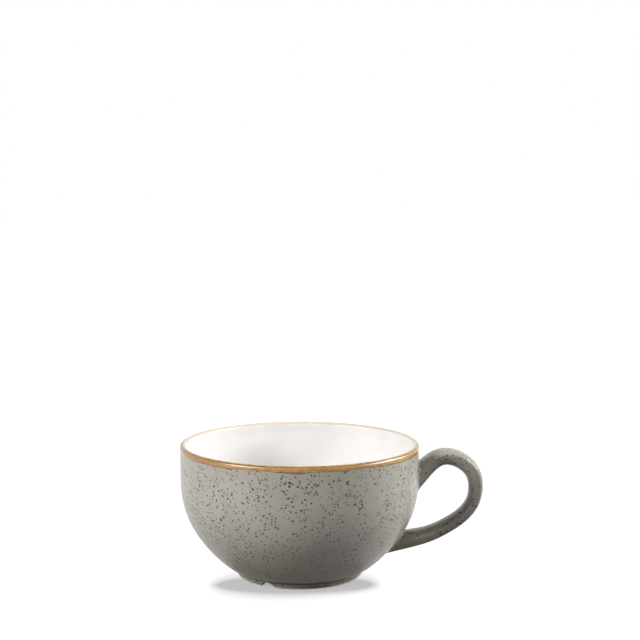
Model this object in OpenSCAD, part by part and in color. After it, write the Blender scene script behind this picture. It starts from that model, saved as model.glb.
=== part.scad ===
// Wide cappuccino cup: a thrown bowl on a low turned foot, one lofted ear handle with flared
// roots, a speckled grey glaze outside, a white lining and a brown painted rim.
// Origin on the cup's axis at the table. +Z is up, +X points to the handle.

/* [Bowl] */
// Diameter over the painted rim
rim_d = 112; // [102:0.5:122]
// Height of the finished cup
cup_h = 62.4; // [57:0.2:68]
// Height of the plain upright part below the rim
lip_h = 5; // [4:0.2:8]
// Thickness of the clay at the rim
lip_t = 2; // [1.6:0.1:3]
// Thickness of the clay wall at the shoulder
wall_t = 4; // [3.2:0.1:4.6]
// Further thickness of the wall low down, towards the heel
heel_t = 1.5; // [0.8:0.1:2.4]
// How far the belly's pull point lies outside the rim
belly_out = 1.9; // [0:0.1:3.5]
// Height of the belly's pull point
belly_z = 27.2; // [23:0.2:31]
// Height at which the side starts to turn in
shoulder_z = 33.5; // [31:0.5:40]
// Length of the soft heel where the bowl runs onto its foot
heel_run = 7.7; // [5:0.1:10]
// Slope of the bowl where it meets the foot, in degrees
heel_slope = 11.5; // [6:0.5:20]
// Height of the bowl's inner floor above the table
floor_z = 8; // [6.6:0.1:9.5]
// Radius of the flat middle of the inner floor
floor_r = 18; // [12:0.5:24]

/* [Foot] */
// Diameter over the glazed foot
foot_d = 59; // [54:0.5:66]
// Height of the foot ring
foot_h = 3; // [2.6:0.1:4.4]
// Width of the foot ring, inside to outside
foot_w = 4; // [3.4:0.1:6]
// Rounding of the edges that the cup stands on
foot_edge_r = 0.8; // [0.4:0.1:1.2]
// How far the domed underside rises in its middle
base_rise = 0.8; // [0.3:0.1:1.4]
// Number of drain notches in the foot
notch_count = 3; // [2:1:6]
// Width of a drain notch where it meets the table
notch_w = 7.7; // [5:0.1:10]
// Height of a drain notch
notch_h = 2.1; // [1.2:0.1:2.3]

/* [Handle] */
// How far the handle reaches out from the rim
handle_reach = 30.2; // [26:0.1:36]
// Drop from the rim to the handle's highest point
handle_drop = 3.1; // [1.5:0.1:5]
// Drop from the rim to the middle of the upper root
upper_root_drop = 15.6; // [14:0.2:19]
// Height of the middle of the lower root above the table
lower_root_z = 15.5; // [14:0.1:18]
// Thickness of the grip, seen from the side
handle_t = 7.2; // [5.8:0.1:8.6]
// Width of the grip, seen from its end
handle_w = 12.6; // [10:0.1:15]
// Thickness of the upper root at the wall, square to the grip
upper_root_t = 8.8; // [7:0.1:11]
// Thickness of the lower root at the wall, square to the grip
lower_root_t = 8.2; // [7:0.1:11]
// Width of both roots on the wall
root_w = 16; // [13:0.2:18]
// How square the grip's section is: 2 is an ellipse
grip_power = 2.9; // [2:0.1:3.4]
// How much wider the grip's outside is than its middle, as a share
grip_taper = 0.25; // [0:0.05:0.4]

/* [Glaze] */
// Thickness of the glaze
glaze_t = 0.3; // [0.2:0.05:0.5]
// Thickness of the painted rim band
band_t = 0.45; // [0.3:0.05:0.6]
// Height of the painted band on the outside
band_h = 2.9; // [2.2:0.1:4]
// How far the painted band turns over the crown of the lip, in degrees from its outer side
band_turn = 145; // [110:5:165]
// Height of the bare clay edge at the bottom of the foot
bare_h = 0.9; // [0.5:0.1:1.4]

/* [Hidden] */

$fn = 96;
curve_steps = 24;
arc_steps = 6;
crown_in_steps = 2;

// Clay radii and heights
clay_r = rim_d / 2 - band_t;
bore_r = clay_r - lip_t;
crown_r = lip_t / 2;
crown_z = cup_h - band_t - crown_r;
lip_z = cup_h - lip_h;
foot_r = foot_d / 2 - glaze_t;
foot_in_r = foot_r - foot_w;
base_z = foot_h + base_rise;
notch_r = (pow(notch_w / 2, 2) + pow(notch_h, 2)) / (2 * notch_h);

// Bowl curves, from the lip down. The heel ends where its glaze is flush with the foot's.
heel = [foot_r + glaze_t * (1 - sin(heel_slope)), foot_h];
outer_pull = [
    [clay_r, lip_z],
    [clay_r, shoulder_z],
    [clay_r + belly_out, belly_z],
    heel + heel_run * [cos(heel_slope), sin(heel_slope)],
    heel
];
inner_pull = [
    [bore_r, lip_z],
    [clay_r - wall_t, shoulder_z],
    [clay_r + belly_out - wall_t - heel_t, belly_z],
    [foot_r + heel_run - heel_t, floor_z],
    [floor_r, floor_z]
];

// Pull points of the grip from the upper root to the lower: the middle of its section as shares
// of the reach and of the drop to the lower root, and the thickness and width as shares of the
// grip's own.
grip_reach = handle_reach - handle_t / 2;
grip_top_z = cup_h - handle_drop - handle_t / 2;
grip = [
    [0.32, -0.01, 1.00, 1.05],
    [0.65, 0.00, 1.03, 1],
    [0.96, 0.14, 1.05, 1],
    [1.03, 0.35, 0.94, 1],
    [0.96, 0.57, 0.82, 1],
    [0.72, 0.73, 0.81, 1],
    [0.44, 0.84, 0.87, 1],
    [0.13, 0.94, 0.90, 1.02]
];

// A point of a pull curve, its direction, and the curve moved sideways by d
function pull(p, t) =
    len(p) == 1 ? p[0] : pull([for (i = [0 : len(p) - 2]) p[i] + (p[i + 1] - p[i]) * t], t);
function slope(p, t) = pull([for (i = [0 : len(p) - 2]) p[i + 1] - p[i]], t);
function left_of(v) = [-v.y, v.x] / norm(v);
function curve(p, d = 0) = [
    for (i = [0 : curve_steps])
        pull(p, i / curve_steps) + d * left_of(slope(p, i / curve_steps))
];
function reversed(list) = [for (i = [len(list) - 1 : -1 : 0]) list[i]];
function without_first(list) = [for (i = [1 : len(list) - 1]) list[i]];
function arc(centre, r, from, to, steps = arc_steps) = [
    for (i = [0 : steps])
        let (a = from + (to - from) * i / steps)
        centre + r * [cos(a), sin(a)]
];

// Radius of the clay outside at a height
function wall_r(z) = lookup(z, [for (p = reversed(curve(outer_pull))) [p.y, p.x]]);

// The bowl's outside as one closed turned solid, grown by the glaze's thickness
module bowl_hull(grow = 0) {
    rotate_extrude()
        polygon(concat(
            [[0, foot_h - grow]],
            reversed(curve(outer_pull, grow)),
            [[clay_r + grow, cup_h], [0, cup_h]]
        ));
}

// Rounded crown of the lip, from outside to inside: the part under the painted band, and the
// part under the lining
crown_middle = [clay_r - crown_r, crown_z];
function crown_out(r) = arc(crown_middle, r, 0, band_turn);
function crown_in(r) = arc(crown_middle, r, band_turn, 180, crown_in_steps);

module drain_notches() {
    for (i = [0 : notch_count - 1])
        rotate(i * 360 / notch_count)
            translate([foot_in_r - foot_w / 2, 0, notch_h - notch_r])
                rotate([0, 90, 0])
                    cylinder(h = foot_w * 2, r = notch_r);
}

// Outer coat of the bowl and the side of its foot, before the handle is stuck on
module outer_coat() {
    rotate_extrude()
        polygon(concat(
            [[clay_r, cup_h - band_h], [clay_r + glaze_t, cup_h - band_h]],
            curve(outer_pull, glaze_t),
            [[foot_r + glaze_t, bare_h], [foot_r, bare_h], [foot_r, foot_h]],
            reversed(curve(outer_pull))
        ));
}

// Handle loft. A station holds the middle of the section, its thickness and its width. The
// first and last lie inside the wall, each a mirror of the grip's nearest, so that the path
// crosses the wall at the root's own station.
function at_wall(z, t) = [wall_r(z) + glaze_t, z, t, root_w];
function beyond(wall, free) = 2 * wall - free;

grip_stations = [
    for (g = grip)
        [
            rim_d / 2 + grip_reach * g[0],
            grip_top_z + (lower_root_z - grip_top_z) * g[1],
            handle_t * g[2],
            handle_w * g[3]
        ]
];
upper_root = at_wall(cup_h - upper_root_drop, upper_root_t);
lower_root = at_wall(lower_root_z, lower_root_t);
stations = concat(
    [beyond(upper_root, grip_stations[0]), upper_root],
    grip_stations,
    [lower_root, beyond(lower_root, grip_stations[len(grip) - 1])]
);
last_station = len(stations) - 1;
root_steps = 3;
loft_steps = 4;
section_steps = 24;

// Smooth curve drawn by the stations, and its direction, between stations i and i + 1
function near(i) =
    [for (k = [i - 1 : i + 2]) stations[max(0, min(last_station, k))]];
function drawn(i, t) =
    [pow(1 - t, 3), 3 * pow(t, 3) - 6 * t * t + 4, 3 * t * (1 + t - t * t) + 1, pow(t, 3)]
        * near(i) / 6;
function heading(i, t) =
    [-pow(1 - t, 2), 3 * t * t - 4 * t, 1 + 2 * t - 3 * t * t, t * t] * near(i) / 2;

// Outline of the grip square to its path, made thinner all round by cut. It is wider on the
// outside than towards the finger.
function power(v) = sign(v) * pow(abs(v), 2 / grip_power);
function section(i, t, cut) =
    let (
        s = drawn(i, t),
        way = heading(i, t),
        outward = left_of([way[0], way[1]])
    )
    [
        for (k = [0 : section_steps - 1])
            let (
                a = 360 * (k + 0.5) / section_steps,
                out = power(cos(a)),
                p = [s[0], s[1]] + outward * (s[2] / 2 - cut) * out
            )
            [p.x, (s[3] / 2 - cut) * power(sin(a)) * (1 + grip_taper * out), p.y]
    ];

module handle_loft(cut, first, last) {
    rings = concat(
        [
            for (i = [first : last - 1], j = [0 : loft_steps - 1])
                section(i, j / loft_steps, cut)
        ],
        [section(last - 1, 1, cut)]
    );
    n = section_steps;
    top = (len(rings) - 1) * n;
    sides = [
        for (r = [0 : len(rings) - 2], k = [0 : n - 1])
            let (a = r * n + k, b = r * n + (k + 1) % n)
            each [[a, b, a + n], [b, b + n, a + n]]
    ];
    ends = [
        for (k = [1 : n - 2])
            each [[0, k + 1, k], [top, top + k, top + k + 1]]
    ];
    polyhedron([for (ring = rings) each ring], concat(sides, ends));
}

module slip_film(first, last) {
    intersection() {
        handle_loft(glaze_t, first, last);
        outer_coat();
    }
}

// Bowl of white clay with a rounded lip and a flat inner floor
module bowl_body() {
    color("#f1eee6")
        rotate_extrude()
            polygon(concat(
                [[0, base_z], [foot_in_r, foot_h]],
                reversed(curve(outer_pull)),
                crown_out(crown_r),
                without_first(crown_in(crown_r)),
                curve(inner_pull),
                [[0, floor_z]]
            ));
}

// Turned foot ring with rounded standing edges and drain notches
module foot_ring() {
    color("#e6e0d2")
        difference() {
            rotate_extrude()
                polygon(concat(
                    [[foot_in_r, foot_h]],
                    arc([foot_in_r + foot_edge_r, foot_edge_r], foot_edge_r, 180, 270),
                    arc([foot_r - foot_edge_r, foot_edge_r], foot_edge_r, 270, 360),
                    [[foot_r, foot_h]]
                ));
            drain_notches();
        }
}

module handle_body() {
    color("#ece7dc")
        difference() {
            handle_loft(glaze_t, 0, last_station);
            bowl_hull(glaze_t);
        }
}

module upper_slip_joint() {
    color("#d8d0c0")
        slip_film(0, root_steps);
}

module lower_slip_joint() {
    color("#d8d0c0")
        slip_film(last_station - root_steps, last_station);
}

// Speckled grey glaze on the bowl and its foot, open where the handle is stuck on
module outer_glaze() {
    color("#9d9a92")
        difference() {
            outer_coat();
            handle_loft(glaze_t, 0, root_steps);
            handle_loft(glaze_t, last_station - root_steps, last_station);
            drain_notches();
        }
}

module handle_glaze() {
    color("#6f6b62")
        difference() {
            handle_loft(0, 0, last_station);
            handle_loft(glaze_t, 0, last_station);
            bowl_hull(glaze_t);
        }
}

// Glaze on the domed underside, inside the foot ring
module base_glaze() {
    color("#8f8b82")
        rotate_extrude()
            polygon([
                [0, base_z - glaze_t],
                [foot_in_r, foot_h - glaze_t],
                [foot_in_r, foot_h],
                [0, base_z]
            ]);
}

// White glaze that lines the bowl, up to the painted band on the crown
module inner_glaze() {
    color("#fbfaf6")
        rotate_extrude()
            polygon(concat(
                crown_in(crown_r),
                curve(inner_pull),
                [[0, floor_z], [0, floor_z + glaze_t]],
                reversed(curve(inner_pull, -glaze_t)),
                reversed(crown_in(crown_r + glaze_t))
            ));
}

// Brown painted band over the lip
module rim_band() {
    color("#a67c3d")
        rotate_extrude()
            polygon(concat(
                [[clay_r, cup_h - band_h], [clay_r + band_t, cup_h - band_h]],
                crown_out(crown_r + band_t),
                reversed(crown_out(crown_r))
            ));
}

bowl_body();
foot_ring();
handle_body();
upper_slip_joint();
lower_slip_joint();
outer_glaze();
handle_glaze();
base_glaze();
inner_glaze();
rim_band();
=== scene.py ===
import math
from collections import namedtuple

import bpy
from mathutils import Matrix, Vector, noise


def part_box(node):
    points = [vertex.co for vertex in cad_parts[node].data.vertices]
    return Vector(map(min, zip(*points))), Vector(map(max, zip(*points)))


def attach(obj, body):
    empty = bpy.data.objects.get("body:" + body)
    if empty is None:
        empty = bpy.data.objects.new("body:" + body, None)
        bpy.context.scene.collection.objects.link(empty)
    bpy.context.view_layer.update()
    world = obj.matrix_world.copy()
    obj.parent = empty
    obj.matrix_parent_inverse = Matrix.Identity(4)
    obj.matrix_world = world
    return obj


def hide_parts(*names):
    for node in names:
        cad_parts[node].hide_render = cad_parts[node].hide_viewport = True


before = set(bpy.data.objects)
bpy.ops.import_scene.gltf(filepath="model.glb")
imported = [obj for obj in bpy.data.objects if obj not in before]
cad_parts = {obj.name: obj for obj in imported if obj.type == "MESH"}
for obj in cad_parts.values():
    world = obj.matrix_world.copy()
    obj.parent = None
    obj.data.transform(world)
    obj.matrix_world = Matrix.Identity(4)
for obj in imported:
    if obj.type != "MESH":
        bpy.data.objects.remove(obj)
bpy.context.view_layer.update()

MM = 0.001

# Bowl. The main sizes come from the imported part, the rest repeat the sizes of its source.
CUP_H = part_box("rim_band")[1].z / MM
RIM_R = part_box("rim_band")[1].x / MM
LIP_H = 5
LIP_T = 2
WALL_T = 4
HEEL_T = 1.5
BELLY_OUT = 1.9
BELLY_Z = 27.2
SHOULDER_Z = 33.5
HEEL_RUN = 7.7
HEEL_SLOPE = math.radians(11.5)
FLOOR_Z = 8
FLOOR_R = 18

# Foot
GLAZED_FOOT_R = 29.5
FOOT_H = 3
FOOT_W = 4
FOOT_EDGE_R = 0.8
BASE_RISE = 0.8
NOTCH_W = 7.7
NOTCH_H = 2.1
NOTCH_ANGLES = [0, 120, 240]

# Glaze and painted band. The band turns over the crown by an angle in degrees.
GLAZE_T = 0.3
BAND_T = 0.45
BAND_H = 2.9
BAND_TURN = 145
BARE_H = 0.9

# Handle
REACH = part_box("handle_glaze")[1].x / MM - RIM_R
HANDLE_DROP = 3.1
UPPER_ROOT_DROP = 15.6
LOWER_ROOT_Z = 15.5
HANDLE_T = 7.2
HANDLE_W = 12.6
UPPER_ROOT_T = 8.8
LOWER_ROOT_T = 8.2
ROOT_W = 16
GRIP_POWER = 2.9
GRIP_TAPER = 0.25

# Worked out from the sizes above
CLAY_R = RIM_R - BAND_T
COAT_R = CLAY_R + GLAZE_T
BORE_R = CLAY_R - LIP_T
CROWN_R = LIP_T / 2
CROWN = (CLAY_R - CROWN_R, CUP_H - BAND_T - CROWN_R)
LIP_Z = CUP_H - LIP_H
FOOT_R = GLAZED_FOOT_R - GLAZE_T
FOOT_IN_R = FOOT_R - FOOT_W
BASE_Z = FOOT_H + BASE_RISE
GRIP_REACH = REACH - HANDLE_T / 2
GRIP_TOP_Z = CUP_H - HANDLE_DROP - HANDLE_T / 2

# Fineness of the meshes
CURVE_STEPS = 96
ARC_STEPS = 12
BEND_STEPS = 6
DOME_STEPS = 24
THINNING_STEPS = 5
HANDLE_SIDES = 72
HANDLE_STEPS = 16
FILLET_STEPS = 10

# How far the hidden side of a piece reaches into the piece behind it
SUNK = 0.2


# Curves in the plane of a turned section: points are (radius, height).

def mix(a, b, t):
    return tuple(p + (q - p) * t for p, q in zip(a, b))


def bezier(points, t):
    while len(points) > 1:
        points = [mix(a, b, t) for a, b in zip(points, points[1:])]
    return points[0]


def pulled(points, offset=0.0):
    """Points along a pull curve from the lip down, moved outwards by offset."""
    steepness = [(b[0] - a[0], b[1] - a[1]) for a, b in zip(points, points[1:])]
    line = []
    for i in range(CURVE_STEPS + 1):
        r, z = bezier(points, i / CURVE_STEPS)
        dr, dz = bezier(steepness, i / CURVE_STEPS)
        length = math.hypot(dr, dz)
        line.append((r - dz / length * offset, z + dr / length * offset))
    return line


def polar(centre, radius, degrees):
    """Point round a centre; the angle is measured from the outward direction."""
    a = math.radians(degrees)
    return (centre[0] + radius * math.cos(a), centre[1] + radius * math.sin(a))


def arc(centre, radius, start, end, steps=ARC_STEPS):
    return [polar(centre, radius, start + (end - start) * i / steps) for i in range(steps + 1)]


def straight(a, b, steps):
    """Points between a and b, without the two ends."""
    return [mix(a, b, i / steps) for i in range(1, steps)]


def bend(a, corner, b):
    """Points after a along the soft corner from a to b."""
    return [bezier([a, corner, b], i / BEND_STEPS) for i in range(1, BEND_STEPS + 1)]


HEEL = (FOOT_R + GLAZE_T * (1 - math.sin(HEEL_SLOPE)), FOOT_H)
OUTER_PULL = [
    (CLAY_R, LIP_Z),
    (CLAY_R, SHOULDER_Z),
    (CLAY_R + BELLY_OUT, BELLY_Z),
    (HEEL[0] + HEEL_RUN * math.cos(HEEL_SLOPE), HEEL[1] + HEEL_RUN * math.sin(HEEL_SLOPE)),
    HEEL,
]
INNER_PULL = [
    (BORE_R, LIP_Z),
    (CLAY_R - WALL_T, SHOULDER_Z),
    (CLAY_R + BELLY_OUT - WALL_T - HEEL_T, BELLY_Z),
    (FOOT_R + HEEL_RUN - HEEL_T, FLOOR_Z),
    (FLOOR_R, FLOOR_Z),
]


def round_wobble(angle, waves, seed):
    """Smooth irregular value between about -1 and 1 that closes round the cup."""
    return 2 * noise.noise(Vector((waves * math.cos(angle), waves * math.sin(angle), seed)))


# Lower edge of the painted band as the brush left it: angle in degrees from the handle, and
# height over the mean edge.
BAND_STROKES = [
    (0, 0.15), (35, -0.2), (70, 0.1), (105, 0.35), (120, -0.3), (160, 0.2), (185, 0), (210, 0.05),
    (236, 0.05), (245, 0.5), (256, 0.5), (263, -0.1), (271, -0.45), (276, 0.35), (288, 0.4),
    (292, -0.15), (295, 0.55), (303, 0.5), (312, 0), (335, -0.15),
]


def brushed_edge(angle):
    """Height of the painted band's lower edge over its mean, run smoothly between the strokes."""
    degree = math.degrees(angle) % 360
    ends = BAND_STROKES + [(360 + BAND_STROKES[0][0], BAND_STROKES[0][1])]
    for (a, low), (b, high) in zip(ends, ends[1:]):
        if degree <= b:
            t = (degree - a) / (b - a)
            return low + (high - low) * t * t * (3 - 2 * t)


def notch_height(radius, angle):
    """Height of the foot's underside: 0, or the vault of a drain notch with softened lips."""
    soft = 0.35
    reach = math.radians(25)
    vault_r = ((NOTCH_W / 2) ** 2 + NOTCH_H ** 2) / (2 * NOTCH_H)
    flank = (NOTCH_W / 2) / (vault_r - NOTCH_H)
    height = 0.0
    for degrees in NOTCH_ANGLES:
        turn = angle - math.radians(degrees)
        if math.cos(turn) < math.cos(reach):
            continue
        across = abs(radius * math.sin(turn))
        if across < NOTCH_W / 2:
            vault = math.sqrt(vault_r ** 2 - across ** 2) - vault_r + NOTCH_H
        else:
            vault = (NOTCH_W / 2 - across) * flank
        overlap = max(soft - abs(vault), 0) / soft
        height = max(vault, 0) + overlap ** 2 * soft / 4
    return height


# Meshes

def piece(name, points, faces, nodes):
    """A smooth piece of the cup from points in millimetres, riding on the one body."""
    mesh = bpy.data.meshes.new(name)
    mesh.from_pydata([tuple(c * MM for c in p) for p in points], [], faces)
    mesh.validate()
    mesh.shade_smooth()
    made = bpy.data.objects.new(name, mesh)
    bpy.context.scene.collection.objects.link(made)
    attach(made, "root")
    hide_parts(*nodes)
    return made


def turn_angles(coarse=1.25, fine=0.35, reach=9):
    """Angles round the axis in radians, closer together at the drain notches."""
    angles = []
    degree = 0.0
    while degree < 360 - fine / 2:
        angles.append(math.radians(degree))
        near = min(abs((degree - n + 180) % 360 - 180) for n in NOTCH_ANGLES)
        degree += fine if near < reach else coarse
    return angles


def turned(section, angles):
    """Points and faces of a closed turned skin. section(angle) gives a loop of (radius, height)."""
    on_axis = 1e-6
    points = []
    rows = []
    for angle in angles:
        row = []
        for i, (r, z) in enumerate(section(angle)):
            if r < on_axis and rows:
                row.append(rows[0][i])
                continue
            row.append(len(points))
            points.append((r * math.cos(angle), r * math.sin(angle), z))
        rows.append(row)
    faces = []
    for row, following in zip(rows, rows[1:] + rows[:1]):
        for i in range(len(row)):
            j = (i + 1) % len(row)
            corners = [row[i], row[j], following[j], following[i]]
            face = [c for n, c in enumerate(corners) if c not in corners[:n]]
            if len(face) > 2:
                faces.append(face)
    return points, faces


def bowl_coat():
    """Grey coat of the bowl and of the foot's side, down to its wiped edge.

    It is tucked under the painted band, and its wiped edge wanders and stays over the notches.
    """
    tuck = 1.1
    crease = 0.4
    wander = 0.12
    notch_gap = 0.12
    edge_r = GLAZE_T / 2
    top_z = CUP_H - BAND_H + tuck
    corner = (GLAZED_FOOT_R, FOOT_H - GLAZE_T * math.cos(HEEL_SLOPE))
    under = (corner[0], corner[1] - crease)
    highest_edge = under[1] - edge_r - 0.02
    outside = [p for p in pulled(OUTER_PULL, GLAZE_T) if math.dist(p, corner) > crease]
    soft_crease = bend(outside[-1], corner, under)
    inside = pulled(OUTER_PULL)[::-1]

    def section(angle):
        bare = BARE_H + wander * round_wobble(angle, waves=6, seed=3)
        low = max(bare, notch_height(GLAZED_FOOT_R, angle) + notch_gap)
        low = min(low, highest_edge)
        edge = arc((FOOT_R + edge_r, low + edge_r), edge_r, 0, -180, 6)
        return (
            [(COAT_R, top_z)] + straight((COAT_R, top_z), (COAT_R, LIP_Z), 5) + outside
            + soft_crease + straight(under, edge[0], 5) + edge
            + straight(edge[-1], (FOOT_R, FOOT_H), 3) + inside + [(CLAY_R, top_z)]
        )

    points, faces = turned(section, turn_angles())
    return piece("bowl_coat", points, faces, ["outer_glaze"])


def foot_turned():
    """Turned foot with rounded standing edges and soft drain notches."""
    top = FOOT_H + SUNK

    def lifted(r, z, angle):
        vault = notch_height(r, angle)
        return (r, vault + z * (1 - vault / FOOT_H))

    def section(angle):
        inner = arc((FOOT_IN_R + FOOT_EDGE_R, FOOT_EDGE_R), FOOT_EDGE_R, 180, 270)
        outer = arc((FOOT_R - FOOT_EDGE_R, FOOT_EDGE_R), FOOT_EDGE_R, 270, 360)
        inner_side = [(FOOT_IN_R, FOOT_H)] + straight((FOOT_IN_R, FOOT_H), inner[0], 4)
        outer_side = straight(outer[-1], (FOOT_R, FOOT_H), 4) + [(FOOT_R, FOOT_H)]
        line = inner_side + inner + straight(inner[-1], outer[0], 8) + outer + outer_side
        return [(FOOT_IN_R, top)] + [lifted(r, z, angle) for r, z in line] + [(FOOT_R, top)]

    points, faces = turned(section, turn_angles())
    return piece("foot_turned", points, faces, ["foot_ring"])


def base_coat():
    """Grey coat of the domed underside. It runs down the foot's inner side and leans into it."""
    run = 0.7
    lean = 0.05
    low = FOOT_H - GLAZE_T
    dome = []
    for i in range(DOME_STEPS + 1):
        share = i / DOME_STEPS
        dome.append((share * (FOOT_IN_R - run), low + BASE_RISE * (1 - share ** 2)))
    pool = bend(dome[-1], (FOOT_IN_R, low), (FOOT_IN_R + lean, low - run))
    back = [(FOOT_IN_R + SUNK, low - run), (FOOT_IN_R + SUNK, FOOT_H), (0, BASE_Z)]
    points, faces = turned(lambda angle: dome + pool + back, turn_angles(coarse=2, fine=2))
    return piece("base_coat", points, faces, ["base_glaze"])


def white_lining():
    """White coat inside the bowl, over the crown's inner side and up under the painted rim.

    It is tucked under the paint by an angle in degrees.
    """
    tuck = 12
    floor_rings = (13, 8, 4, 0)
    under_band = BAND_TURN - tuck
    over_crown = arc(CROWN, CROWN_R + GLAZE_T, under_band, 180)
    surface = pulled(INNER_PULL, -GLAZE_T)
    line = (
        over_crown + straight(over_crown[-1], surface[0], 5) + surface
        + [(r, FLOOR_Z + GLAZE_T) for r in floor_rings]
        + [(0, FLOOR_Z)] + pulled(INNER_PULL)[::-1] + arc(CROWN, CROWN_R, 180, under_band)
    )
    points, faces = turned(lambda angle: line, turn_angles(coarse=1, fine=1))
    return piece("white_lining", points, faces, ["inner_glaze"])


# Profile of the painted band's lower edge: radius, and height over the edge.
BAND_EDGE = [
    (COAT_R - 0.03, 0),
    (COAT_R + 0.05, 0.08),
    (COAT_R + 0.1, 0.22),
    (RIM_R - 0.01, 0.4),
    (RIM_R, 0.7),
]


def painted_rim():
    """Brown band over the lip, laid on by hand: both its edges wander and end softly.

    Over a tail in degrees the paint thins until it dips under the white lining.
    """
    tail = 9
    dip = 0.03
    thinned = BAND_T - GLAZE_T + dip

    def section(angle):
        low = CUP_H - BAND_H + brushed_edge(angle)
        low += 0.08 * round_wobble(angle, waves=16, seed=5)
        turn = BAND_TURN + 7 * round_wobble(angle, waves=5, seed=21)
        turn += 4 * round_wobble(angle, waves=18, seed=2)
        thinning = []
        for i in range(1, THINNING_STEPS + 1):
            share = i / THINNING_STEPS
            thickness = BAND_T - thinned * share ** 2
            thinning.append(polar(CROWN, CROWN_R + thickness, turn + tail * share))
        return (
            [(r, low + z) for r, z in BAND_EDGE] + arc(CROWN, CROWN_R + BAND_T, 0, turn, 24)
            + thinning + arc(CROWN, CROWN_R, turn + tail, 0) + [(CLAY_R, low)]
        )

    points, faces = turned(section, turn_angles(coarse=0.75, fine=0.75))
    return piece("painted_rim", points, faces, ["rim_band"])


# Wall line, by height and by length run down it

WALL_LINE = [(COAT_R, CUP_H)] + pulled(OUTER_PULL, GLAZE_T)
WALL_RUN = [0.0]
for above, below in zip(WALL_LINE, WALL_LINE[1:]):
    WALL_RUN.append(WALL_RUN[-1] + math.dist(above, below))


def wall_at_height(z):
    """Radius of the coat and length run down the wall at a height."""
    for i in range(1, len(WALL_LINE)):
        (r0, z0), (r1, z1) = WALL_LINE[i - 1], WALL_LINE[i]
        if z >= z1 or i == len(WALL_LINE) - 1:
            t = (z0 - z) / (z0 - z1)
            return r0 + (r1 - r0) * t, WALL_RUN[i - 1] + (WALL_RUN[i] - WALL_RUN[i - 1]) * t


def wall_at_run(run):
    """Radius, height and outward normal of the coat after a length run down the wall."""
    i = 1
    while i < len(WALL_RUN) - 1 and WALL_RUN[i] < run:
        i += 1
    (r0, z0), (r1, z1) = WALL_LINE[i - 1], WALL_LINE[i]
    t = (run - WALL_RUN[i - 1]) / (WALL_RUN[i] - WALL_RUN[i - 1])
    length = math.dist(WALL_LINE[i - 1], WALL_LINE[i])
    return r0 + (r1 - r0) * t, z0 + (z1 - z0) * t, ((z0 - z1) / length, (r1 - r0) / length)


def unrolled(point):
    """Place on the unrolled wall at a point's height: length round it and run down it."""
    r, run = wall_at_height(point.z)
    return Vector((r * math.atan2(point.y, point.x), run))


def on_wall(place, depth):
    """Point at a place of the unrolled wall, at a depth under the coat."""
    r, z, (nr, nz) = wall_at_run(place.y)
    angle = place.x / r
    r, z = r - nr * depth, z - nz * depth
    return Vector((r * math.cos(angle), r * math.sin(angle), z))


# Handle. A station holds the middle of the section, its thickness and its width, as in the
# part's source. The grip's are shares of its reach, its drop, its thickness and its width.

GRIP = [
    (0.32, -0.01, 1.00, 1.05),
    (0.65, 0.00, 1.03, 1),
    (0.96, 0.14, 1.05, 1),
    (1.03, 0.35, 0.94, 1),
    (0.96, 0.57, 0.82, 1),
    (0.72, 0.73, 0.81, 1),
    (0.44, 0.84, 0.87, 1),
    (0.13, 0.94, 0.90, 1.02),
]

# A line of the skin is followed from near an end of the path, in stations, until it leaves the
# wall. Round that crossing a fillet reaches some way over wall and handle, and ends a little
# under the coat, and a hidden ring lies deeper.
ROOT_START = 0.2
ROOT_STEP = 0.02
UPPER_FILLET = 2.2
LOWER_FILLET = 1.8
FILLET_DEPTH = 0.04
HIDDEN_DEPTH = 0.7


def at_wall(z, thickness):
    return (wall_at_height(z)[0], z, thickness, ROOT_W)


def beyond(wall, free):
    """Station that mirrors the grip's nearest, so that the path crosses the wall at wall."""
    return tuple(2 * a - b for a, b in zip(wall, free))


GRIP_STATIONS = [
    (RIM_R + GRIP_REACH * x, GRIP_TOP_Z + (LOWER_ROOT_Z - GRIP_TOP_Z) * drop,
     HANDLE_T * thickness, HANDLE_W * width)
    for x, drop, thickness, width in GRIP
]
UPPER_ROOT = at_wall(CUP_H - UPPER_ROOT_DROP, UPPER_ROOT_T)
LOWER_ROOT = at_wall(LOWER_ROOT_Z, LOWER_ROOT_T)
STATIONS = (
    [beyond(UPPER_ROOT, GRIP_STATIONS[0]), UPPER_ROOT] + GRIP_STATIONS
    + [LOWER_ROOT, beyond(LOWER_ROOT, GRIP_STATIONS[-1])]
)
LAST_STATION = len(STATIONS) - 1


def drawn(u):
    """Station at u along the smooth curve drawn by the stations, and the curve's direction."""
    i = min(int(u), LAST_STATION - 1)
    t = u - i
    near = [STATIONS[max(0, min(LAST_STATION, n))] for n in (i - 1, i, i + 1, i + 2)]
    place = [(1 - t) ** 3, 3 * t ** 3 - 6 * t ** 2 + 4, 3 * t * (1 + t - t ** 2) + 1, t ** 3]
    way = [-(1 - t) ** 2, 3 * t ** 2 - 4 * t, 1 + 2 * t - 3 * t ** 2, t ** 2]
    middle = [sum(w * s[k] for w, s in zip(place, near)) / 6 for k in range(4)]
    heading = [sum(w * s[k] for w, s in zip(way, near)) for k in range(2)]
    return middle, heading


def handle_point(u, side):
    """Point of the handle's skin at u along it, at one of the sides round its section."""
    (x, z, thickness, width), (dx, dz) = drawn(u)
    a = math.tau * (side + 0.5) / HANDLE_SIDES
    c = math.copysign(abs(math.cos(a)) ** (2 / GRIP_POWER), math.cos(a))
    s = math.copysign(abs(math.sin(a)) ** (2 / GRIP_POWER), math.sin(a))
    out = thickness / 2 * c / math.hypot(dx, dz)
    return Vector((x - dz * out, width / 2 * s * (1 + GRIP_TAPER * c), z + dx * out))


def outside_wall(point):
    return math.hypot(point.x, point.y) - wall_at_height(point.z)[0]


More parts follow.
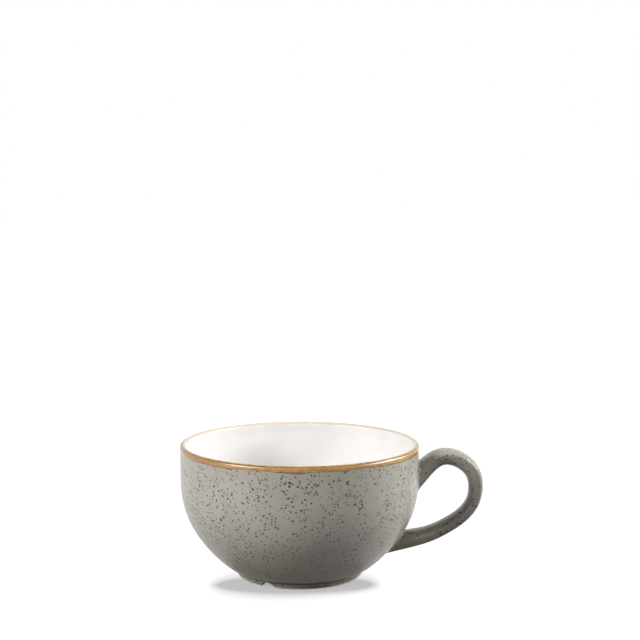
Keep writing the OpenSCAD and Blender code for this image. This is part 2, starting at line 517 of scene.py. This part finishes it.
def wall_crossing(side, start, step):
    """Where a line of the handle's skin leaves the wall, going from start by steps."""
    halvings = 24
    inside = start
    outside = start + step
    while outside_wall(handle_point(outside, side)) < 0:
        inside = outside
        outside += step
    for _ in range(halvings):
        middle = (inside + outside) / 2
        if outside_wall(handle_point(middle, side)) < 0:
            inside = middle
        else:
            outside = middle
    return outside


def along_skin(side, u, step, length):
    """Place along the handle that lies a length away from u over its skin."""
    gone = 0.0
    here = handle_point(u, side)
    while gone < length:
        u += step
        following = handle_point(u, side)
        gone += (following - here).length
        here = following
    return u


def fillet_feet(corners, fillet):
    """Places on the unrolled wall where the fillet round a root ends, one for each corner."""
    flat = [unrolled(corner) for corner in corners]
    centre = sum(flat, Vector((0, 0))) / len(flat)
    feet = []
    for k, here in enumerate(flat):
        along = flat[(k + 1) % HANDLE_SIDES] - flat[k - 1]
        out = Vector((along.y, -along.x)).normalized()
        if out.dot(here - centre) < 0:
            out = -out
        feet.append(here + out * fillet)
    return feet


def root_rings(start, step, fillet):
    """Rings of a root from inside the wall to the free handle, and where each side leaves."""
    crossings = [wall_crossing(k, start, step) for k in range(HANDLE_SIDES)]
    leaves = [along_skin(k, u, step / 4, fillet) for k, u in enumerate(crossings)]
    corners = [handle_point(u, k) for k, u in enumerate(crossings)]
    free = [handle_point(u, k) for k, u in enumerate(leaves)]
    places = fillet_feet(corners, fillet)
    feet = [on_wall(place, FILLET_DEPTH) for place in places]
    rings = [[on_wall(place, HIDDEN_DEPTH) for place in places]]
    for i in range(FILLET_STEPS):
        t = i / FILLET_STEPS
        rings.append([Vector(bezier(line, t)) for line in zip(feet, corners, free)])
    return rings, leaves


def handle_coat():
    """Grey coat of the handle, with a soft fillet where each root runs onto the bowl."""
    upper, leave = root_rings(ROOT_START, ROOT_STEP, UPPER_FILLET)
    lower, arrive = root_rings(LAST_STATION - ROOT_START, -ROOT_STEP, LOWER_FILLET)
    steps = HANDLE_STEPS * (LAST_STATION - 2)
    middle = []
    for i in range(steps + 1):
        places = mix(leave, arrive, i / steps)
        middle.append([handle_point(u, k) for k, u in enumerate(places)])
    rings = upper + middle + lower[::-1]
    points = [tuple(p) for ring in rings for p in ring]
    faces = []
    for i in range(len(rings) - 1):
        for k in range(HANDLE_SIDES):
            a = i * HANDLE_SIDES + k
            b = i * HANDLE_SIDES + (k + 1) % HANDLE_SIDES
            faces.append([a, b, b + HANDLE_SIDES, a + HANDLE_SIDES])
    for ring, order in ((0, -1), (len(rings) - 1, 1)):
        hub = len(points)
        points.append(tuple(sum(rings[ring], Vector()) / HANDLE_SIDES))
        for k in range(HANDLE_SIDES):
            pair = [ring * HANDLE_SIDES + k, ring * HANDLE_SIDES + (k + 1) % HANDLE_SIDES]
            faces.append(pair[::order] + [hub])
    return piece("handle_coat", points, faces, ["handle_glaze"])


# Materials. Colours are written as display values of 0 to 255.

def srgb(red, green, blue):
    """Linear colour with alpha from display values."""
    linear = []
    for value in (red, green, blue):
        v = value / 255
        linear.append(v / 12.92 if v <= 0.04045 else ((v + 0.055) / 1.055) ** 2.4)
    return (*linear, 1)


def shaded(colour, *shares):
    """Linear colour from display values, each times its share, or all times the one share."""
    if len(shares) == 1:
        shares = shares * 3
    return srgb(*(value * share for value, share in zip(colour, shares)))


def node(tree, kind, inputs=None, **settings):
    """Adds a node. inputs maps its sockets to values or to the sockets that feed them."""
    made = tree.nodes.new(kind)
    for key, value in settings.items():
        setattr(made, key, value)
    for key, value in (inputs or {}).items():
        if isinstance(value, bpy.types.NodeSocket):
            tree.links.new(value, made.inputs[key])
        else:
            made.inputs[key].default_value = value
    return made


def maths(tree, operation, a, b=0.0, clamp=False):
    made = node(tree, "ShaderNodeMath", {0: a, 1: b}, operation=operation, use_clamp=clamp)
    return made.outputs[0]


def vector_maths(tree, operation, a, b):
    return node(tree, "ShaderNodeVectorMath", {0: a, 1: b}, operation=operation).outputs[0]


def vector_length(tree, vector):
    return node(tree, "ShaderNodeVectorMath", {0: vector}, operation="LENGTH").outputs[1]


def spread(tree, value, low, high, to_low=0.0, to_high=1.0, kind="LINEAR"):
    """value from low..high onto to_low..to_high."""
    inputs = {0: value, 1: low, 2: high, 3: to_low, 4: to_high}
    return node(tree, "ShaderNodeMapRange", inputs, interpolation_type=kind).outputs[0]


def eased(tree, length, low, high, to_low=1.0, to_high=0.0):
    """length from low..high millimetres onto to_low..to_high, eased at both ends."""
    return spread(tree, length, low * MM, high * MM, to_low, to_high, "SMOOTHSTEP")


def blended(tree, amount, first, second):
    """Colour between first and second."""
    inputs = {0: amount, 6: first, 7: second}
    return node(tree, "ShaderNodeMix", inputs, data_type="RGBA").outputs[2]


def painted(tree, colour, mask, strength, paint):
    """colour with a paint over it where the mask says."""
    return blended(tree, maths(tree, "MULTIPLY", mask, strength), colour, srgb(*paint))


def cloud(tree, place, size, detail=2.0, roughness=0.5):
    """Noise with features about size millimetres across."""
    inputs = {"Vector": place, "Scale": 1 / (size * MM), "Detail": detail, "Roughness": roughness}
    return node(tree, "ShaderNodeTexNoise", inputs).outputs[0]


def clouded(tree, place, size, detail=2.0, edge=0.3, to_low=0.0, to_high=1.0):
    """Cloud whose values edge..1-edge are spread onto to_low..to_high."""
    return spread(tree, cloud(tree, place, size, detail), edge, 1 - edge, to_low, to_high)


def new_material(name):
    """A material, its empty tree, and the place on the piece in the frame's metres."""
    material = bpy.data.materials.new(name)
    material.use_nodes = True
    tree = material.node_tree
    tree.nodes.clear()
    return material, tree, node(tree, "ShaderNodeTexCoord").outputs["Object"]


def close_material(tree, inputs, bumps, relief, depth=0.05):
    """Ends a material with the main shader, its surface uneven by bumps of a depth."""
    uneven = node(tree, "ShaderNodeBump", {
        "Strength": relief, "Distance": depth * MM, "Height": bumps})
    inputs["Normal"] = uneven.outputs[0]
    shader = node(tree, "ShaderNodeBsdfPrincipled", inputs)
    node(tree, "ShaderNodeOutputMaterial", {0: shader.outputs[0]})


def ragged(tree, place, size, reach):
    """Place shifted by up to reach millimetres, so that round spots get uneven edges."""
    inputs = {"Vector": place, "Scale": 1 / (size * MM), "Detail": 1.0}
    shift = node(tree, "ShaderNodeTexNoise", inputs).outputs[1]
    centred = vector_maths(tree, "SUBTRACT", shift, (0.5, 0.5, 0.5))
    scaled = vector_maths(tree, "MULTIPLY", centred, (2 * reach * MM,) * 3)
    return vector_maths(tree, "ADD", place, scaled)


def specks(tree, place, cell, least, most, share, shift=0.0):
    """Mask of round spots, one at most in each cell and only in a share of the cells.

    least and most are a spot's radius in millimetres, shift moves the cells in metres.
    """
    moved = vector_maths(tree, "ADD", place, (shift, -shift, 2 * shift))
    cells = node(tree, "ShaderNodeTexVoronoi", {"Vector": moved, "Scale": 1 / (cell * MM)})
    dice = node(tree, "ShaderNodeSeparateColor", {0: cells.outputs["Color"]})
    radius = spread(tree, dice.outputs[0], 0, 1, least / cell, most / cell)
    soft = 0.05 / cell
    inner = maths(tree, "SUBTRACT", radius, soft)
    outer = maths(tree, "ADD", radius, soft)
    inside = spread(tree, cells.outputs["Distance"], inner, outer, 1, 0, "SMOOTHSTEP")
    chosen = maths(tree, "LESS_THAN", dice.outputs[1], share)
    strength = spread(tree, dice.outputs[2], 0, 0.5, 0.7, 1)
    return maths(tree, "MULTIPLY", maths(tree, "MULTIPLY", inside, chosen), strength)


# Specks of the grey glaze, in the order in which they are laid over each other. The share of
# cells with a speck follows the clusters where crowded is true.
Layer = namedtuple("Layer", "cell least most share shift crowded strength paint")
SPECK_LAYERS = [
    Layer(1.3, 0.26, 0.4, 0.5, 0.77, crowded=True, strength=0.55, paint=(84, 78, 62)),
    Layer(3.4, 0.25, 0.4, 0.4, 0.53, crowded=False, strength=0.4, paint=(222, 218, 206)),
    Layer(1.35, 0.32, 0.46, 0.64, 0.31, crowded=True, strength=0.95, paint=(34, 30, 20)),
    Layer(1.8, 0.37, 0.53, 0.72, 0.0, crowded=True, strength=1, paint=(8, 8, 6)),
]

# Towards the foot the glaze colour is painted darker and warmer, as painted shade over the lower
# belly: these shares of its colour are left at the lower height, and all of it at the upper.
FOOT_SHADE = (0.8, 0.76, 0.68)
FOOT_SHADE_LOW_Z = 4
FOOT_SHADE_HIGH_Z = 34


def speckled(tree, place, colour, plenty):
    """colour with the specks of the grey glaze, crowded in patches and along thin trails."""
    edges = ragged(tree, place, size=0.8, reach=0.28)
    patches = clouded(tree, place, 6, detail=1, edge=0.36, to_low=0.25)
    trail = maths(tree, "ABSOLUTE", maths(tree, "SUBTRACT", cloud(tree, place, 11, 1), 0.5))
    crowd = maths(tree, "ADD", patches, spread(tree, trail, 0, 0.035, 0.5, 0))
    for layer in SPECK_LAYERS:
        share = layer.share
        if layer.crowded:
            share = maths(tree, "MULTIPLY", crowd, plenty * share)
        mask = specks(tree, edges, layer.cell, layer.least, layer.most, share, layer.shift)
        colour = painted(tree, colour, mask, layer.strength, layer.paint)
    return colour


def grey_glaze(name, body, plenty, rough, gloss, relief):
    """Warm grey glaze with dark specks in uneven clusters. body is its display colour."""
    material, tree, place = new_material(name)
    mottle = maths(tree, "MULTIPLY", clouded(tree, place, 9, detail=3, edge=0.32), 0.6)
    fine = maths(tree, "MULTIPLY", clouded(tree, place, 0.7), 0.4)
    tone = maths(tree, "ADD", mottle, fine)
    colour = blended(tree, tone, shaded(body, 0.94), shaded(body, 1.05))
    height = node(tree, "ShaderNodeSeparateXYZ", {0: place}).outputs[2]
    # Painted shade: the colour turns darker and warmer towards the foot.
    foot_shade = eased(tree, height, FOOT_SHADE_LOW_Z, FOOT_SHADE_HIGH_Z)
    colour = blended(tree, foot_shade, colour, shaded(body, *FOOT_SHADE))
    inputs = {
        "Base Color": speckled(tree, place, colour, plenty),
        "Roughness": clouded(tree, place, 3, to_low=rough - 0.03, to_high=rough + 0.04),
        "Specular IOR Level": gloss,
    }
    close_material(tree, inputs, cloud(tree, place, 1.6), relief)
    return material


def white_glaze():
    """Smooth warm white glaze with faint cloudiness."""
    material, tree, place = new_material("white_glaze")
    cloudy = clouded(tree, place, 12, detail=3)
    inputs = {
        "Base Color": blended(tree, cloudy, srgb(226, 224, 221), srgb(233, 231, 229)),
        "Roughness": clouded(tree, place, 4, to_low=0.16, to_high=0.22),
        "Specular IOR Level": 0.4,
    }
    close_material(tree, inputs, cloud(tree, place, 2.5), relief=0.15)
    return material


def brown_band():
    """Golden brown paint drawn out along the rim, dark where it pools, with painted shade on the
    side away from the handle, and pale on the crown's inner side, where it thins and has a painted
    reflection.
    """
    material, tree, place = new_material("brown_band")
    x, _, height = node(tree, "ShaderNodeSeparateXYZ", {0: place}).outputs
    radius = vector_length(tree, vector_maths(tree, "MULTIPLY", place, (1, 1, 0)))
    drawn_out = vector_maths(tree, "MULTIPLY", place, (1, 1, 6))
    strokes = cloud(tree, drawn_out, 3, detail=4, roughness=0.7)
    brushed = spread(tree, strokes, 0.36, 0.64)
    grain = clouded(tree, place, 0.6)
    wavering = maths(tree, "ADD", height, spread(tree, brushed, 0, 1, -0.2 * MM, 0.2 * MM))
    low = CUP_H - BAND_H
    lower_line = eased(tree, wavering, low + 0.1, low + 0.8)
    at_crown = eased(tree, wavering, CUP_H - 0.75, CUP_H - 0.45, 0, 1)
    over_crown = eased(tree, wavering, CUP_H - 0.3, CUP_H - 0.1)
    upper_line = maths(tree, "MULTIPLY", at_crown, over_crown)
    # Paler on the crown's inner side, where the paint thins, with a painted reflection there.
    thin_paint_and_reflection = eased(tree, radius, CROWN[0] - 0.5, CROWN[0] + 0.3)
    # Painted shade: the paint is darker on the side away from the handle.
    far_side_shade = eased(tree, x, -54, -24)
    colour = blended(tree, brushed, srgb(152, 107, 40), srgb(202, 160, 90))
    colour = painted(tree, colour, grain, 0.3, (126, 80, 20))
    colour = painted(tree, colour, far_side_shade, 0.6, (122, 84, 30))
    colour = painted(tree, colour, upper_line, 0.85, (108, 64, 8))
    colour = painted(tree, colour, lower_line, 0.85, (100, 58, 10))
    colour = painted(tree, colour, thin_paint_and_reflection, 0.8, (230, 218, 194))
    inputs = {
        "Base Color": colour,
        "Roughness": spread(tree, grain, 0, 1, 0.3, 0.4),
        "Specular IOR Level": 0.3,
        "Coat Weight": 0.8,
        "Coat Roughness": 0.22,
    }
    close_material(tree, inputs, cloud(tree, drawn_out, 2), relief=0.3)
    return material


def fired_clay(name, body):
    """Bare fired clay: fine grain, a few pits and a rough surface."""
    material, tree, place = new_material(name)
    grain = clouded(tree, place, 0.5, detail=3)
    tone = maths(tree, "MULTIPLY", maths(tree, "ADD", grain, clouded(tree, place, 6)), 0.5)
    colour = blended(tree, tone, shaded(body, 0.9), srgb(*body))
    pits = specks(tree, place, cell=1.8, least=0.08, most=0.2, share=0.6)
    inputs = {
        "Base Color": painted(tree, colour, pits, 0.6, (96, 84, 68)),
        "Roughness": spread(tree, grain, 0, 1, 0.7, 0.85),
        "Specular IOR Level": 0.3,
    }
    close_material(tree, inputs, grain, relief=0.5, depth=0.06)
    return material


def dress(made, material):
    made.data.materials.clear()
    made.data.materials.append(material)


# Studio. Places and sizes of the camera, the lamps and the floor are in metres.

CAMERA_PLACE = (0.00798, -0.6993, 0.1979)
CAMERA_PITCH = math.radians(6.345)
CAMERA_YAW = math.radians(0.128)
CAMERA_LENS = 85.1
LAMPS_AIM = Vector((0.01, 0, 0.03))
LAMPS_DISTANCE = 0.7
AMBIENT = 0.01

# Painted shadow on the floor, here in millimetres: the floor's glow is dimmed to an even core that
# fades out towards an edge and a little beyond it. The glows are shares of white, at the core and
# at the edge.
SHADOW_MIDDLE = (-2, -21.2)
SHADOW_CORE = (35, 13)
SHADOW_EDGE = (40, 31)
SHADOW_GLOW = 0.4
EDGE_GLOW = 0.84
EDGE_FADE = 0.15

# Shares of light that the floor gives back: where it is seen, and onto the cup
FLOOR_LIT = 0.2
FLOOR_BOUNCE = 0.12
FLOOR_REACH = 4.0


def make_camera():
    lens = bpy.data.cameras.new("camera")
    lens.sensor_width = 36
    lens.lens = CAMERA_LENS
    lens.clip_start = 0.01
    camera = bpy.data.objects.new("camera", lens)
    camera.location = CAMERA_PLACE
    camera.rotation_euler = (math.pi / 2 - CAMERA_PITCH, 0, -CAMERA_YAW)
    bpy.context.scene.collection.objects.link(camera)
    bpy.context.scene.camera = camera


def softbox(name, azimuth, elevation, width, height, power):
    """Lamp at an azimuth from the camera's side towards +X, turned to look at the cup."""
    lamp = bpy.data.lights.new(name, "AREA")
    lamp.shape = "RECTANGLE"
    lamp.size = width
    lamp.size_y = height
    lamp.energy = power
    a, e = math.radians(azimuth), math.radians(elevation)
    toward = Vector((math.sin(a) * math.cos(e), -math.cos(a) * math.cos(e), math.sin(e)))
    box = bpy.data.objects.new(name, lamp)
    box.location = LAMPS_AIM + toward * LAMPS_DISTANCE
    box.rotation_euler = toward.to_track_quat("Z", "Y").to_euler()
    bpy.context.scene.collection.objects.link(box)


def background_share(tree):
    """1 for the rays that show the background: camera, glossy and transmission rays."""
    path = node(tree, "ShaderNodeLightPath").outputs
    seen = maths(tree, "ADD", path["Is Camera Ray"], path["Is Glossy Ray"], True)
    return maths(tree, "ADD", seen, path["Is Transmission Ray"], True)


def white_world():
    """World that shows as white and hardly lights the cup."""
    world = bpy.data.worlds.new("studio")
    bpy.context.scene.world = world
    world.use_nodes = True
    tree = world.node_tree
    tree.nodes.clear()
    strength = spread(tree, background_share(tree), 0, 1, AMBIENT, 1)
    back = node(tree, "ShaderNodeBackground", {"Color": (1, 1, 1, 1), "Strength": strength})
    node(tree, "ShaderNodeOutputWorld", {0: back.outputs[0]})


def off_middle(tree, place, reach):
    """How far a place on the floor lies from the shadow's middle, as a share of its reach."""
    offset = [-c * MM for c in SHADOW_MIDDLE] + [0]
    scale = [1 / (c * MM) for c in reach] + [0]
    moved = vector_maths(tree, "ADD", place, offset)
    return vector_length(tree, vector_maths(tree, "MULTIPLY", moved, scale))


def floor_material():
    """White floor with a painted shadow under the cup, where its glow is dimmed; its lit share
    keeps the cup's real shadow.
    """
    material, tree, place = new_material("floor")
    past_core = maths(tree, "SUBTRACT", off_middle(tree, place, SHADOW_CORE), 1)
    short_of_edge = maths(tree, "SUBTRACT", 1, off_middle(tree, place, SHADOW_EDGE))
    between = maths(tree, "ADD", maths(tree, "MAXIMUM", short_of_edge, 0),
                    maths(tree, "MAXIMUM", past_core, 0))
    rising = maths(tree, "DIVIDE", past_core, between)
    inner = spread(tree, rising, 0, 1, SHADOW_GLOW, EDGE_GLOW)
    outer = spread(tree, short_of_edge, -EDGE_FADE, 0, 1 - EDGE_GLOW, 0)
    glow = maths(tree, "ADD", inner, outer)
    lit = node(tree, "ShaderNodeBsdfDiffuse", {"Color": (FLOOR_LIT,) * 3 + (1,)})
    own = node(tree, "ShaderNodeEmission", {"Color": (1, 1, 1, 1), "Strength": glow})
    shown = node(tree, "ShaderNodeAddShader", {0: lit.outputs[0], 1: own.outputs[0]})
    bounce = node(tree, "ShaderNodeBsdfDiffuse", {"Color": (FLOOR_BOUNCE,) * 3 + (1,)})
    both = node(tree, "ShaderNodeMixShader", {
        0: background_share(tree), 1: bounce.outputs[0], 2: shown.outputs[0]})
    node(tree, "ShaderNodeOutputMaterial", {0: both.outputs[0]})
    return material


def make_floor():
    corners = [
        (-FLOOR_REACH, -FLOOR_REACH, 0), (FLOOR_REACH, -FLOOR_REACH, 0),
        (FLOOR_REACH, FLOOR_REACH, 0), (-FLOOR_REACH, FLOOR_REACH, 0),
    ]
    mesh = bpy.data.meshes.new("floor")
    mesh.from_pydata(corners, [], [[0, 1, 2, 3]])
    floor = bpy.data.objects.new("floor", mesh)
    bpy.context.scene.collection.objects.link(floor)
    dress(floor, floor_material())


def main():
    make_camera()
    dress(bowl_coat(), grey_glaze(
        "speckled_glaze", (164, 160, 151), plenty=1, rough=0.34, gloss=0.45, relief=0.15))
    # The handle's glaze is a darker copy of the bowl's grey glaze: painted shade.
    dress(handle_coat(), grey_glaze(
        "handle_glaze", (154, 150, 140), plenty=0.7, rough=0.22, gloss=0.25, relief=0.1))
    dress(base_coat(), grey_glaze(
        "base_glaze", (156, 153, 144), plenty=0.5, rough=0.4, gloss=0.3, relief=0.2))
    dress(white_lining(), white_glaze())
    dress(painted_rim(), brown_band())
    dress(foot_turned(), fired_clay("foot_clay", (216, 209, 194)))
    hidden_clay = fired_clay("white_clay", (234, 228, 214))
    for name in ("bowl_body", "handle_body"):
        dress(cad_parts[name], hidden_clay)
    slip = fired_clay("slip", (214, 205, 188))
    for name in ("upper_slip_joint", "lower_slip_joint"):
        dress(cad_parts[name], slip)
    make_floor()
    white_world()
    softbox("left", azimuth=-56, elevation=26, width=0.3, height=0.22, power=4.8)
    softbox("right", azimuth=94, elevation=26, width=0.5, height=0.4, power=7.2)
    softbox("front_top", azimuth=-10, elevation=50, width=0.3, height=0.2, power=0.7)
    bpy.context.scene.view_settings.view_transform = "Standard"


main()
